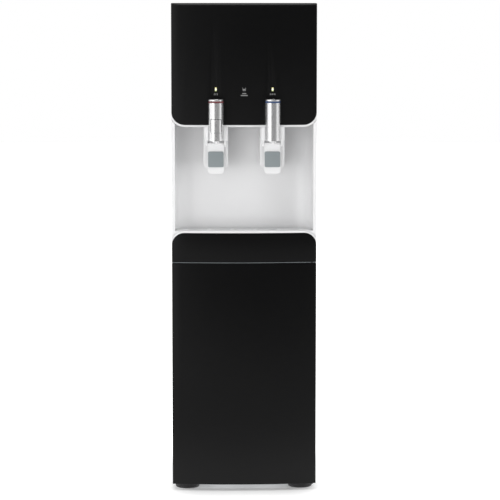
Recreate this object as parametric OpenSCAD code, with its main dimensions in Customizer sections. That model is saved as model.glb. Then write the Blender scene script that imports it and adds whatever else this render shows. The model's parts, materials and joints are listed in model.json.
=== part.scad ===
// Free-standing bottleless water cooler: bowed black front panels over a white cabinet,
// a dispensing alcove with two cup-push taps, a filter bay behind the lower door and a
// wire-on-tube condenser at the back. X is to the right seen from the front, -Y is the front.

/* [Cabinet] */
// Width over the side panels
body_w = 308; // [300:1:340]
// Depth from the corners of the front to the rear panel
body_d = 290; // [285:1:330]
// Height from the floor to the top of the lid
body_h = 1043; // [960:1:1100]
// How far the middle of the front bows out past its corners
bow = 12; // [8:0.5:16]
// Depth of the front mouldings at the sides
front_d = 14; // [14:0.5:17]
// Shut line between the front mouldings and the side panels
shut_gap = 0.5; // [0.3:0.1:0.8]
// Thickness of the sheet steel of the cabinet
sheet_t = 1; // [0.8:0.1:1.4]
// Height of the top lid's edge
lid_h = 6; // [5:0.5:9]
// Width of the bevel round the front of the lid
lid_bevel = 4; // [2:0.5:5]
// Height of the base pan above the floor
foot_clear = 12; // [11.5:0.5:18]

/* [Front panels] */
// Height of the fascia
fascia_h = 250.5; // [244:0.5:270]
// Corner radius of the fascia
fascia_r = 28; // [20:1:34]
// Height of the alcove between the fascia and the ledge front
alcove_h = 229.5; // [215:0.5:250]
// Corner radius of the ledge front
ledge_r = 27; // [20:1:34]
// Height of the ledge front
ledge_h = 63; // [56:0.5:80]
// Width of the seam between the ledge front and the door
seam_w = 2; // [1.8:0.1:3]
// Thickness of the black panels
panel_t = 3; // [2.5:0.1:3.5]
// Thickness of the white frame moulding behind the fascia
frame_t = 2.5; // [2:0.1:3]
// Width of the white lip round the black panels
trim = 4; // [2.5:0.5:5]
// Groove outside the white lip
groove = 0.8; // [0.5:0.1:1.2]

/* [Alcove] */
// Depth of the alcove's back wall behind the corners of the front
alcove_depth = 80; // [76:1:96]
// Radius of the alcove's two upright back corners
alcove_r = 40; // [25:1:48]
// Width of the alcove's cheeks
cheek = 7; // [6:0.5:10]
// Wall of the alcove moulding
wall_t = 3; // [2.5:0.1:3.5]
// Depth of the well that holds the drip tray
well_d = 20; // [18:1:24]
// Spacing of the rows of slots in the drip grille
slot_pitch = 9; // [8:0.5:12]
// Width of a grille slot
slot_w = 4.4; // [3.5:0.1:5]

/* [Taps] */
// Distance of each tap from the middle
tap_x = 60; // [52:1:66]
// Radius of the silver barrel
barrel_r = 16; // [15:0.5:17]
// How deep the barrel nests into the fascia
nest = 4; // [3.5:0.1:4.5]
// How far the barrel hangs below the fascia
tap_drop = 33; // [31:0.5:36]
// Height of the plain silver barrel
barrel_h = 80; // [76:0.5:88]
// Height of the coloured ring
ring_h = 4; // [3:0.5:6]
// Height of the cap
cap_h = 3.5; // [3:0.5:6]
// Width of the white tap base
base_w = 52; // [48:1:56]
// Height of the tap base below the barrel
base_drop = 61.5; // [58:0.5:64]
// Width of the paddle
paddle_w = 34; // [32:1:36]
// Length of the paddle below its pin
paddle_len = 62; // [56:1:66]
// Side of the square pad on the paddle
pad_w = 33; // [28:1:33]
// Radius of the pin that carries the paddle
pin_r = 2; // [1.5:0.1:2.5]
// Width of the child lock button
lock_w = 22; // [18:1:23]
// Height of the child lock button
lock_h = 28; // [22:1:30]
// Groove round the child lock button
lock_gap = 0.6; // [0.4:0.1:0.8]

/* [Inside] */
// Radius of the cold tank
cold_r = 85; // [75:1:86]
// Height of the cold tank
cold_h = 168; // [150:1:172]
// Radius of the hot tank
hot_r = 60; // [50:1:62]
// Height of the hot tank
hot_h = 150; // [120:1:160]
// Radius of the compressor's shell
comp_r = 62; // [55:1:64]
// Height of the compressor's shell
comp_h = 148; // [130:1:160]
// Radius of the water tubes
tube_r = 4; // [3:0.25:4]
// Radius of a filter cartridge
filter_r = 36; // [30:1:38]
// Height of a filter cartridge
filter_h = 300; // [250:5:310]

/* [Back] */
// Distance from the rear panel to the outer wires of the condenser
rear_gap = 20; // [18:0.5:26]
// Rows of tube in the condenser
cond_rows = 15; // [11:2:15]
// Spacing of the condenser's rows
cond_pitch = 40; // [36:1:40]
// Radius of the condenser's tube
cond_r = 2.5; // [2:0.1:3]
// Radius of the condenser's wires
wire_r = 0.8; // [0.6:0.1:1]
// Spacing of the condenser's wires
wire_pitch = 13; // [11:1:20]

/* [Feet] */
// Radius of a levelling foot
foot_r = 26; // [22:0.5:28]
// Height of a foot's pad
foot_h = 10; // [8:0.5:11]
// Distance of the feet's middles from the sides
foot_inset = 32; // [28:1:42]
// Radius of a foot's threaded stem
stem_r = 5; // [4:0.5:6]

/* [Clearances] */
// Radial clearance of pins, stems and other running fits
run_fit = 0.05; // [0.03:0.01:0.08]
// Clearance round pieces that move past each other
slip = 0.4; // [0.3:0.05:0.6]
// Clearance of a hole round a tube
hole_gap = 1; // [0.5:0.1:1.4]

/* [Hidden] */
$fn = 64;
eps = 0.01;
arc_over = 0.05;
half_w = body_w / 2;
in_w = half_w - sheet_t - 0.1;

// The bow is an arc through both corners of the front and the middle of the front.
bow_r = (half_w * half_w + bow * bow) / (2 * bow);
function bow_out(x, inset) = bow - bow_r + sqrt(pow(bow_r - inset, 2) - x * x);

// Depths are counted back from the corners of the front.
tap_axis_d = -bow_out(tap_x, 0) - barrel_r + nest;
front_reach = barrel_r - tap_axis_d;
y_front = front_reach - (front_reach + body_d + rear_gap) / 2;
bow_cy = y_front - bow + bow_r;
side_d = front_d + shut_gap;
lid_z = body_h - lid_h;

// Heights of the front modules, counted down from the lid
fascia_bottom = lid_z - fascia_h;
ledge_top = fascia_bottom - alcove_h;
seam_z = ledge_top - ledge_h;
niche_half = half_w - cheek;
niche_top = fascia_bottom + 12;
lip_top = ledge_top + trim;
well_z = lip_top - well_d;
well_front = 11;
tray_half = niche_half - 3;
tray_front = well_front + 1.5;
tray_back = alcove_depth - 3;
tray_top = lip_top - 1;
tray_z = well_z + 0.2;
grille_t = 2.4;
grille_z = tray_top - grille_t - 0.6;
door_z1 = seam_z - seam_w;
foot_x = half_w - foot_inset;

// The door turns on pins near its right edge, inside its own thickness.
hinge_inset = 10;
hinge_d = 3;
hinge_x = half_w - hinge_inset;
hinge_pin_r = 2.5;
hinge_pin_h = 12;
door_t = 2.6;
hinge_plate = 1.4;
door_z0 = foot_clear + hinge_plate + 0.6;
grip_z = 330;
grip_h = 90;

// Tap heights and depths
barrel_z = fascia_bottom - tap_drop;
ring_z = barrel_z + barrel_h;
cap_z = ring_z + ring_h;
barrel_wall = 2.5;
nozzle_r = 7;
base_z = barrel_z - base_drop;
base_face = tap_axis_d + barrel_r - 3;
base_back = 64;
base_low_face = 11.5;
pin_d = 1;
pin_z = barrel_z - 8.5;
paddle_t = 3.5;
paddle_face = -1;
pad_t = 3;
ear_t = 4;
rod_r = 3;
rod_z = pin_z - 31;
rod_tip = paddle_face + paddle_t + 0.3;
pocket_d = base_low_face + 3;
collar_d = pocket_d + 1;
collar_t = 2;
valve_d = 32;
valve_l = 28;
valve_half = 14;
seal_d = 50;
spring_mean_r = 4.6;
spring_wire_r = 0.4;
spring_turns = 6;
spout_z = barrel_z + 14;
spout_back = 40;
spout_bend = tube_r + 0.9;
feed_d = 52;
lock_z = barrel_z + 17.5;

// Inside heights and places
shelf_z = niche_top + wall_t + 28.5;
low_shelf_z = well_z + 36.5;
divider_d = 125;
frame_half = in_w - 1.6;
cold_d = body_d - 115;
cold_z = shelf_z + 1.2;
coil_r = cold_r + tube_r + 1.2;
coil_turns = 7.5;
coil_pitch = 19;
coil_z = cold_z + 14;
coil_top = coil_z + coil_pitch * coil_turns;
coil_tail = 15.2;
coil_head = 12;
jacket_in = coil_r + tube_r + 0.7;
jacket_t = 16;
hot_d = (alcove_depth + wall_t + body_d) / 2;
hot_leg = 8;
hot_z = low_shelf_z + 1.2 + hot_leg;
riser_x = half_w - 27;
riser_d = 108;
cross_z = shelf_z - 15;
bend = 10;
elbow_lap = 0.5;
elbow_over = 0.03;
comp_d = body_d - 80;
comp_x = half_w - 139;
pan_top = foot_clear + 1.5;
grommet_h = 12;
comp_plate_z = pan_top + grommet_h;
comp_z = comp_plate_z + 2.5;
comp_top = comp_z + comp_h;
comp_foot_x = 70;
comp_foot_y = 40;
comp_pipe_x = 18;
board_d = 24;
board_z = fascia_bottom + 75.5;
lens_w = 3.5;
lens_h = 8;
filter_x = 45;
filter_d = 76;
head_z = seam_z - 51;
head_h = 35;
head_half = 90;
neck_r = 14;
neck_deep = 22;
supply_x = half_w - 39;
supply_z = 110;

// The condenser hangs below the lid; its ends pass through the rear panel under it.
cond_top = lid_z - 97;
cond_end = cond_top - cond_pitch * (cond_rows - 1);
line_z = low_shelf_z - 222.5;
line_left = 125;
line_right = 135;
drier_r = 9;
drier_h = 70;
drier_d = body_d - 40;
suction_r = tube_r - 0.6;
suction_z = line_z - 40;
capillary_r = 1.5;
cond_d = body_d + rear_gap - 2 * wire_r - cond_r - 0.02;
cond_half = 115;

// Rear fittings
inlet_bore_r = 3.25;
inlet_bore_l = 14;
switch_z = 325;
switch_x = 40;
rocker_tilt = 7;
power_x = 95;
power_z = 72;
drain_x = -78;
drain_z = 72;
foot_front_d = 42;
foot_rear_d = body_d - 38;

// A profile drawn in X and Z is stood up between two depths.
module stand_up(d0, d1) {
  translate([0, y_front + d1, 0]) rotate([90, 0, 0]) linear_extrude(d1 - d0) children();
}

// Place a piece at a depth behind the corners of the front
module at(x, d, z) {
  translate([x, y_front + d, z]) children();
}

// A box between two depths and two heights
module slab(x0, x1, d0, d1, z0, z1) {
  at(x0, d0, z0) cube([x1 - x0, d1 - d0, z1 - z0]);
}

// Plan of the bowed front, set back by inset, as far as the depth d1
module bow_plan(inset, d1) {
  intersection() {
    translate([0, bow_cy]) circle(r = bow_r - inset, $fn = 360);
    translate([-half_w, y_front - bow - 1]) square([body_w, d1 + bow + 1]);
  }
}

module bow_block(inset, d1, z0, z1) {
  translate([0, 0, z0]) linear_extrude(z1 - z0) bow_plan(inset, d1);
}

// A curved skin of even thickness that follows the bow
module bow_skin(inset, t, z0, z1) {
  translate([0, 0, z0]) linear_extrude(z1 - z0) difference() {
    bow_plan(inset, front_d);
    translate([0, bow_cy]) circle(r = bow_r - inset - t, $fn = 360);
  }
}

// Rectangle with two round corners, at the bottom or at the top
module round_end(w, z0, z1, r, at_top) {
  round_z = at_top ? z1 - r : z0 + r;
  translate([-w / 2, at_top ? z0 : z0 + r]) square([w, z1 - z0 - r]);
  translate([-w / 2 + r, z0]) square([w - 2 * r, z1 - z0]);
  for (s = [-1, 1]) translate([s * (w / 2 - r), round_z]) circle(r = r);
}

// Outline of the fascia, grown outwards but not past the cabinet's sides. Its corner arcs start a
// little outside the sides, so that they cross them.
module upper_outline(grow) {
  intersection() {
    round_end(body_w + 2 * (grow + arc_over), fascia_bottom - grow, lid_z, fascia_r + grow, false);
    translate([-half_w, 0]) square([body_w, lid_z]);
  }
}

// Outline of the ledge front, grown in the same way
module lower_outline(grow) {
  intersection() {
    round_end(body_w + 2 * (grow + arc_over), seam_z, ledge_top + grow, ledge_r + grow, true);
    translate([-half_w, 0]) square([body_w, lid_z]);
  }
}

// Plan with two round corners at the back
module round_back(hw, d0, d1, r) {
  translate([-hw, y_front + d0]) square([2 * hw, d1 - d0 - r]);
  translate([-hw + r, y_front + d0]) square([2 * (hw - r), d1 - d0]);
  for (s = [-1, 1]) translate([s * (hw - r), y_front + d1 - r]) circle(r = r);
}

// A round tube along axis-aligned points, with an elbow at each turn. The elbows are a hair
// fuller than the straights, which run a little way into them.
function unit(v) = v / norm(v);
module rod_between(p, q, r) {
  d = q - p;
  turn = abs(d[2]) > eps ? [0, d[2] > 0 ? 0 : 180, 0]
    : abs(d[0]) > eps ? [0, d[0] > 0 ? 90 : -90, 0] : [d[1] > 0 ? -90 : 90, 0, 0];
  if (norm(d) > eps) translate(p) rotate(turn) cylinder(r = r, h = norm(d), $fn = 24);
}
module elbow(p, into, out, r, b) {
  x = -out;
  y = into;
  z = cross(x, y);
  c = p - into * b + out * b;
  m = [[x[0], y[0], z[0], c[0]], [x[1], y[1], z[1], c[1]], [x[2], y[2], z[2], c[2]], [0, 0, 0, 1]];
  multmatrix(m) rotate_extrude(angle = 90, $fn = 48) translate([b, 0]) circle(r = r, $fn = 24);
}
module pipe_run(pts, r, b) {
  n = len(pts);
  for (i = [0 : n - 2]) {
    d = unit(pts[i + 1] - pts[i]) * (b - elbow_lap);
    rod_between(pts[i] + (i > 0 ? d : [0, 0, 0]), pts[i + 1] - (i < n - 2 ? d : [0, 0, 0]), r);
  }
  if (n > 2) for (i = [1 : n - 2])
    elbow(pts[i], unit(pts[i] - pts[i - 1]), unit(pts[i + 1] - pts[i]), r + elbow_over, b);
}
// A point of a pipe, given as X, depth and Z
function pt(x, d, z) = [x, y_front + d, z];

// A round wire wound into a helix about Z, starting on the X axis at z = 0
module helix_wire(mean_r, r, pitch, turns, rings, sides) {
  n = round(turns * rings);
  slope = atan(pitch / (2 * PI * mean_r));
  pts = [for (i = [0 : n]) for (k = [0 : sides - 1])
    let (a = 360 * i / rings, b = 360 * k / sides, q = mean_r + r * cos(b), s = r * sin(b))
    [q * cos(a) + s * sin(slope) * sin(a), q * sin(a) - s * sin(slope) * cos(a),
      pitch * i / rings + s * cos(slope)]];
  walls = [for (i = [0 : n - 1]) for (k = [0 : sides - 1])
    let (a = i * sides + k, b = i * sides + (k + 1) % sides)
    each [[a, b, a + sides], [b, b + sides, a + sides]]];
  ends = [for (k = [1 : sides - 2]) each [[0, k + 1, k], [n * sides, n * sides + k, n * sides + k + 1]]];
  polyhedron(points = pts, faces = concat(walls, ends), convexity = 10);
}

// Cabinet
module base_pan() {
  color("gainsboro") difference() {
    union() {
      slab(-in_w, in_w, side_d, body_d - 1.1, foot_clear, pan_top);
      slab(-in_w, in_w, side_d, side_d + 1.5, foot_clear, foot_clear + 26);
      for (s = [-1, 1]) translate([s * (in_w - 0.75), 0, 0])
        slab(-0.75, 0.75, side_d, body_d - 1.1, foot_clear, foot_clear + 26);
      for (s = [-1, 1], d = [foot_front_d, foot_rear_d]) at(s * foot_x, d, foot_clear)
        cylinder(r = stem_r + 4, h = 14);
    }
    for (s = [-1, 1], d = [foot_front_d, foot_rear_d]) at(s * foot_x, d, foot_clear - 1)
      cylinder(r = stem_r + run_fit, h = 20);
    for (i = [-3 : 3]) slab(comp_x + i * 20 - 3, comp_x + i * 20 + 3, comp_d - 30, comp_d + 30,
      foot_clear - 1, pan_top + 1);
  }
}

module side_panel(s) {
  color("white") mirror([s > 0 ? 0 : 1, 0, 0]) {
    slab(half_w - sheet_t, half_w, side_d, body_d, foot_clear, lid_z - 0.2);
    slab(half_w - 12, half_w - sheet_t + eps, body_d - 2 * sheet_t - 0.1, body_d - sheet_t - 0.1,
      foot_clear + 28, lid_z - 9);
  }
}
module side_panel_left() { side_panel(-1); }
module side_panel_right() { side_panel(1); }

// The rear panel has louvres over the compressor and holes for what passes through it.
module rear_panel() {
  color("white") difference() {
    slab(-in_w, in_w, body_d - sheet_t, body_d, foot_clear + 0.2, lid_z - 0.2);
    for (i = [0 : 11], s = [-1, 1]) at(s * 32, body_d - sheet_t / 2, 105 + i * 15)
      cube([50, 3 * sheet_t, 4.5], center = true);
    for (i = [0 : 5], s = [-1, 1]) at(s * 50, body_d - sheet_t / 2, cond_top + 20 + i * 10)
      cube([80, 3 * sheet_t, 3.5], center = true);
    rear_hole(-supply_x, supply_z, 8 + slip);
    rear_hole(drain_x, drain_z, 9 + slip);
    rear_hole(-line_left, line_z, cond_r + hole_gap);
    rear_hole(line_right, line_z, cond_r + hole_gap);
    at(power_x, body_d, power_z) cube([28 + slip, 6, 20 + slip], center = true);
    for (s = [-1, 1]) at(s * switch_x, body_d, switch_z) cube([20 + slip, 6, 22 + slip], center = true);
  }
}
module rear_hole(x, z, r) {
  at(x, body_d + 3, z) rotate([90, 0, 0]) cylinder(r = r, h = 6);
}

module top_lid() {
  color("#1c1d20") difference() {
    intersection() {
      union() {
        slab(-half_w, half_w, front_d, body_d, lid_z, body_h);
        intersection() {
          slab(-half_w, half_w, -bow - 1, front_d + 1, lid_z, body_h);
          translate([0, bow_cy, lid_z]) union() {
            cylinder(r = bow_r, h = lid_h - lid_bevel, $fn = 360);
            translate([0, 0, lid_h - lid_bevel - eps])
              cylinder(r1 = bow_r, r2 = bow_r - lid_bevel, h = lid_bevel + eps, $fn = 360);
          }
        }
      }
      stand_up(-bow - 1, body_d) round_end(body_w, lid_z - 20, body_h, 2, true);
    }
    slab(-half_w + 12, half_w - 12, front_d + 8, body_d - 12, lid_z - 1, body_h - 2.4);
  }
}

// One folded sheet makes the divider behind the filters and the lower shelf.
module inner_frame() {
  color("silver") difference() {
    union() {
      slab(-frame_half, frame_half, divider_d, divider_d + 1.2, pan_top, low_shelf_z + 1.2);
      slab(-frame_half, frame_half, divider_d, body_d - 2.4, low_shelf_z, low_shelf_z + 1.2);
      slab(-frame_half, frame_half, divider_d, divider_d + 20, pan_top, pan_top + 1.2);
    }
    at(-supply_x, divider_d - 2, supply_z) rotate([-90, 0, 0]) cylinder(r = tube_r + hole_gap, h = 6);
    at(coil_r, cold_d, low_shelf_z - 1) cylinder(r = tube_r + hole_gap, h = 4);
    at(-line_left, cold_d, low_shelf_z - 1) cylinder(r = capillary_r + hole_gap, h = 4);
  }
}

module tank_shelf() {
  shelf_front = side_d + 15.5;
  color("silver") difference() {
    union() {
      slab(-in_w, in_w, shelf_front, body_d - 2.4, shelf_z, shelf_z + 1.2);
      for (s = [-1, 1]) translate([s * (in_w - 0.6), 0, 0])
        slab(-0.6, 0.6, shelf_front, body_d - 2.4, shelf_z - 20, shelf_z + 1.2);
    }
    for (p = [[riser_x, riser_d], [-30, cold_d + 10], [tap_x, cold_d - 25], [coil_r, cold_d]])
      at(p[0], p[1], shelf_z - 1) cylinder(r = tube_r + hole_gap, h = 4);
    at(-line_left, cold_d, shelf_z - 1) cylinder(r = capillary_r + hole_gap, h = 4);
  }
}

// Front panels
module lens_cuts(grow) {
  for (s = [-1, 1]) at(s * tap_x, 0, board_z) cube([lens_w + grow, 60, lens_h + grow], center = true);
}
module barrel_cuts(clear) {
  cut_h = cap_z + cap_h + 1.3 - barrel_z;
  for (s = [-1, 1]) at(s * tap_x, tap_axis_d, barrel_z - 1) cylinder(r = barrel_r + clear, h = cut_h);
}

module front_fascia() {
  color("#1c1d20") difference() {
    intersection() {
      union() {
        bow_skin(0, panel_t, fascia_bottom, lid_z);
        for (s = [-1, 1]) translate([s * (half_w - panel_t / 2), 0, 0])
          slab(-panel_t / 2, panel_t / 2, 0, front_d, fascia_bottom + fascia_r + trim + groove, lid_z);
      }
      bow_block(0, front_d, fascia_bottom, lid_z);
      stand_up(-bow - 1, front_d) upper_outline(0);
    }
    lens_cuts(0.3);
    barrel_cuts(run_fit);
  }
}

// White moulding that carries the fascia; its lower edge shows as a pale lip below it.
module fascia_frame() {
  rim = panel_t + frame_t + 0.1;
  color("white") difference() {
    union() {
      intersection() {
        bow_skin(panel_t, frame_t, fascia_bottom - trim, lid_z);
        stand_up(-bow, front_d) upper_outline(trim);
      }
      difference() {
        intersection() {
          bow_block(panel_t, front_d, fascia_bottom - trim, lid_z);
          stand_up(-bow, front_d) upper_outline(trim);
        }
        stand_up(-bow - 1, front_d + 1)
          round_end(body_w - 2 * rim, fascia_bottom - trim + frame_t, lid_z - frame_t, fascia_r, false);
      }
      intersection() {
        bow_block(1, front_d, fascia_bottom - trim, lid_z - 100);
        stand_up(-bow, front_d) difference() {
          upper_outline(trim);
          upper_outline(0.1);
        }
      }
      for (s = [-1, 1], e = [-1, 1]) at(s * tap_x + e * 12, -bow_out(tap_x, 0) + panel_t + 1.5, board_z)
        rotate([-90, 0, 0]) cylinder(r = 3, h = board_d + bow_out(tap_x, 0) - panel_t - 1.5);
    }
    for (s = [-1, 1]) translate([s * (half_w - panel_t / 2), 0, 0])
      slab(-panel_t / 2 - 0.1, panel_t / 2 + 1, -1, front_d + 1,
        fascia_bottom + fascia_r + trim + groove - 0.1, lid_z + 1);
    lens_cuts(0.3);
    barrel_cuts(run_fit);
  }
}

// The alcove is one moulding: niche, cheeks, tray well and the skin behind the ledge front.
module alcove_panel() {
  color("white") difference() {
    union() {
      translate([0, 0, well_z - wall_t]) linear_extrude(niche_top - well_z + 2 * wall_t)
        round_back(niche_half + wall_t, front_d - 2, alcove_depth + wall_t, alcove_r + wall_t);
      intersection() {
        bow_block(0, front_d, seam_z, niche_top + fascia_r + trim);
        difference() {
          union() {
            for (s = [-1, 1]) translate([s * (half_w - cheek / 2), 0, 0])
              slab(-cheek / 2, cheek / 2, -bow - 1, front_d, seam_z, fascia_bottom + fascia_r + trim);
            slab(-niche_half - 1, niche_half + 1, -bow - 1, well_front, ledge_top - ledge_r, lip_top);
          }
          stand_up(-bow - 2, front_d + 1) lower_outline(trim + groove);
        }
      }
      intersection() {
        bow_block(panel_t, front_d, seam_z, lip_top);
        stand_up(-bow, front_d) lower_outline(trim);
      }
      intersection() {
        bow_block(1, front_d, ledge_top - ledge_r - trim, lip_top);
        stand_up(-bow, front_d) lower_outline(trim);
      }
    }
    translate([0, 0, lip_top]) linear_extrude(niche_top - lip_top)
      round_back(niche_half, -bow - 2, alcove_depth, alcove_r);
    translate([0, 0, well_z]) linear_extrude(lip_top - well_z + 1)
      round_back(niche_half, well_front, alcove_depth, alcove_r);
    intersection() {
      bow_block(panel_t + wall_t, well_front - wall_t, seam_z - 1, lip_top - wall_t);
      stand_up(-bow, front_d) skin_inside();
    }
    intersection() {
      bow_block(panel_t + wall_t, front_d + 1, seam_z - 1, well_z - wall_t);
      stand_up(-bow, front_d + 1) skin_inside();
    }
    stand_up(-bow - 1, front_d + 0.3) upper_outline(trim + groove);
    ledge_space(0.1);
    for (s = [-1, 1]) at(s * tap_x, feed_d, niche_top - 1) cylinder(r = tube_r + hole_gap, h = wall_t + 2);
  }
}
// The room that the black ledge front takes in the moulding
module ledge_space(clear) {
  intersection() {
    stand_up(-bow - 2, front_d + 1) lower_outline(clear);
    union() {
      translate([0, 0, seam_z - 1]) linear_extrude(ledge_top + 2 - seam_z) difference() {
        translate([-half_w - 1, y_front - bow - 2]) square([body_w + 2, bow + front_d + 3]);
        translate([0, bow_cy]) circle(r = bow_r - panel_t, $fn = 360);
      }
      for (s = [-1, 1]) translate([s * (half_w - panel_t / 2), 0, 0])
        slab(-panel_t / 2 - clear, panel_t / 2 + 1, -1, front_d + 1, seam_z - 1,
          ledge_top - ledge_r - trim - groove + clear);
    }
  }
}
// Inside outline of the skin behind the ledge front
module skin_inside() {
  round_end(body_w - 2 * (panel_t + wall_t), seam_z - 1, lip_top - wall_t, ledge_r, true);
}

module ledge_front() {
  color("#1c1d20") intersection() {
    union() {
      bow_skin(0, panel_t, seam_z, ledge_top);
      for (s = [-1, 1]) translate([s * (half_w - panel_t / 2), 0, 0])
        slab(-panel_t / 2, panel_t / 2, 0, front_d, seam_z, ledge_top - ledge_r - trim - groove);
    }
    bow_block(0, front_d, seam_z, ledge_top);
    stand_up(-bow - 1, front_d) lower_outline(0);
  }
}

// The door is a ribbed moulding. Its right edge is rounded about the pins so that it clears the side.
module front_door() {
  color("#1c1d20") difference() {
    union() {
      difference() {
        bow_block(0, front_d, door_z0, door_z1);
        intersection() {
          bow_block(door_t, front_d + 1, door_z0 + door_t, door_z1 - door_t);
          slab(-half_w + door_t, half_w - 2 * hinge_inset, -bow, front_d + 1, door_z0, door_z1);
        }
      }
      for (i = [1 : 4]) intersection() {
        bow_block(door_t / 2, front_d - 4, door_z0, door_z1);
        slab(-half_w + 1, half_w - 2 * hinge_inset + 1, -bow, front_d - 4,
          door_z0 + i * (door_z1 - door_z0) / 5 - 1, door_z0 + i * (door_z1 - door_z0) / 5 + 1);
      }
      for (x = [-80, 0, 80]) intersection() {
        bow_block(door_t / 2, front_d - 4, door_z0, door_z1);
        slab(x - 1, x + 1, -bow, front_d - 4, door_z0 + 1, door_z1 - 1);
      }
    }
    difference() {
      slab(hinge_x, half_w + 1, hinge_d, front_d + 1, door_z0 - 1, door_z1 + 1);
      at(hinge_x, hinge_d, door_z0 - 2) cylinder(r = hinge_inset, h = door_z1 - door_z0 + 4);
    }
    for (z = [door_z0 - 1, door_z1 - hinge_pin_h - 1]) at(hinge_x, hinge_d, z)
      cylinder(r = hinge_pin_r + run_fit, h = hinge_pin_h + 2);
    at(-half_w, front_d, door_z0 + grip_z) cylinder(r = 7, h = grip_h);
  }
}

// A plate and a pin at each end of the door
module door_hinges() {
  color("silver") {
    hinge_bracket(foot_clear, foot_clear + hinge_plate, 1);
    hinge_bracket(seam_z - hinge_plate - 0.1, seam_z - 0.1, -1);
  }
}
module hinge_bracket(z0, z1, up) {
  at(0, 0, z0) linear_extrude(z1 - z0) {
    translate([hinge_x, hinge_d]) circle(r = 4.4);
    translate([hinge_x - 4.4, hinge_d]) square([8.8, side_d - hinge_d - 0.2]);
    if (up < 0) translate([hinge_x - 8, side_d - 6]) square([15, 30]);
  }
  at(hinge_x, hinge_d, up > 0 ? z1 - eps : door_z1 - hinge_pin_h)
    cylinder(r = hinge_pin_r, h = (up > 0 ? door_z0 + hinge_pin_h - z1 : z0 - door_z1 + hinge_pin_h) + eps);
}

// Drip tray and grille
module tray_plan(g) {
  round_back(tray_half - g, tray_front + g, tray_back - g, alcove_r - 4 - g);
}
module drip_tray() {
  color("white") difference() {
    translate([0, 0, tray_z]) linear_extrude(tray_top - tray_z) tray_plan(0);
    translate([0, 0, tray_z + 2]) linear_extrude(tray_top) tray_plan(4);
    translate([0, 0, grille_z - 0.2]) linear_extrude(10) tray_plan(2);
  }
}
// The grille's slots run from side to side, in rows.
module drip_grille() {
  columns = 5;
  bridge = 7;
  margin = 24;
  step = (2 * (tray_half - margin) + bridge) / columns;
  reach = (step - bridge - slot_w) / 2;
  middle = (tray_front + tray_back) / 2;
  rows = floor((tray_back - tray_front - margin) / slot_pitch) + 1;
  color("white") difference() {
    translate([0, 0, grille_z]) linear_extrude(grille_t) tray_plan(2 + slip);
    for (i = [0 : columns - 1], j = [0 : rows - 1])
      at((i - (columns - 1) / 2) * step, middle + (j - (rows - 1) / 2) * slot_pitch, grille_z - 1) {
        translate([-reach, -slot_w / 2, 0]) cube([2 * reach, slot_w, grille_t + 2]);
        for (s = [-1, 1]) translate([s * reach, 0, 0])
          cylinder(r = slot_w / 2, h = grille_t + 2, $fn = 24);
      }
  }
}

// Taps. Each is built about its own axis plane and then moved to its side.
module tap_base(s) {
  top_face = front_d + 0.5;
  color("white") translate([s * tap_x, 0, 0]) difference() {
    union() {
      intersection() {
        at(0, 0, base_z) linear_extrude(niche_top - base_z) base_plan();
        stand_up(-bow - 20, base_back + 1) round_end(base_w, base_z, niche_top, 12, false);
        base_profile();
      }
      for (e = [-1, 1]) translate([e * (paddle_w / 2 + slip + ear_t / 2), 0, 0]) {
        slab(-ear_t / 2, ear_t / 2, pin_d - 5, base_low_face + 1, pin_z, barrel_z + 1);
        at(-ear_t / 2, pin_d, pin_z) rotate([0, 90, 0]) cylinder(r = 5, h = ear_t);
        slab(-ear_t / 2, ear_t / 2, pin_d, base_low_face + 1, pin_z - 5, pin_z + 1);
      }
    }
    slab(-base_w, base_w, -bow - 30, top_face, fascia_bottom - trim - 0.3, niche_top + 1);
    at(0, tap_axis_d, barrel_z) cylinder(r = barrel_r + run_fit, h = 60);
    at(-base_w, pin_d, pin_z) rotate([0, 90, 0]) cylinder(r = pin_r, h = 2 * base_w);
    at(0, base_low_face - 1, rod_z) rotate([-90, 0, 0]) cylinder(r = rod_r + run_fit, h = 10);
    slab(-valve_half - 0.5, valve_half + 0.5, pocket_d, base_back + 1,
      rod_z - valve_half - 0.5, rod_z + valve_half + 0.5);
    pipe_run([pt(0, tap_axis_d, spout_z), pt(0, spout_back, spout_z), pt(0, spout_back, rod_z)],
      tube_r + 0.3, spout_bend);
    at(0, feed_d, rod_z) cylinder(r = tube_r + 0.3, h = niche_top - rod_z + 1);
  }
}
module base_plan() {
  r = 10;
  w = base_w / 2;
  intersection() {
    union() {
      for (sx = [-1, 1], d = [base_face + r, base_back - r]) translate([sx * (w - r), d])
        circle(r = r + arc_over);
      translate([-w + r, base_face]) square([base_w - 2 * r, base_back - base_face]);
      translate([-w, base_face + r]) square([base_w, base_back - base_face - 2 * r]);
    }
    translate([-w, base_face]) square([base_w, base_back - base_face]);
  }
}
// Side profile: the upper part reaches forward to the barrel, the lower part stands back.
module base_profile() {
  r = 14;
  translate([-base_w, 0, 0]) rotate([90, 0, 90]) linear_extrude(2 * base_w) translate([y_front, 0]) {
    translate([base_face - 5, barrel_z]) square([base_back - base_face + 5, niche_top - barrel_z]);
    translate([base_low_face, base_z]) square([base_back - base_low_face - r, barrel_z - base_z + 1]);
    translate([base_back - r - 1, base_z + r]) square([r + 1, barrel_z - base_z - r + 1]);
    translate([base_back - r, base_z + r]) circle(r = r);
  }
}
module hot_tap_base() { tap_base(-1); }
module cold_tap_base() { tap_base(1); }

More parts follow.
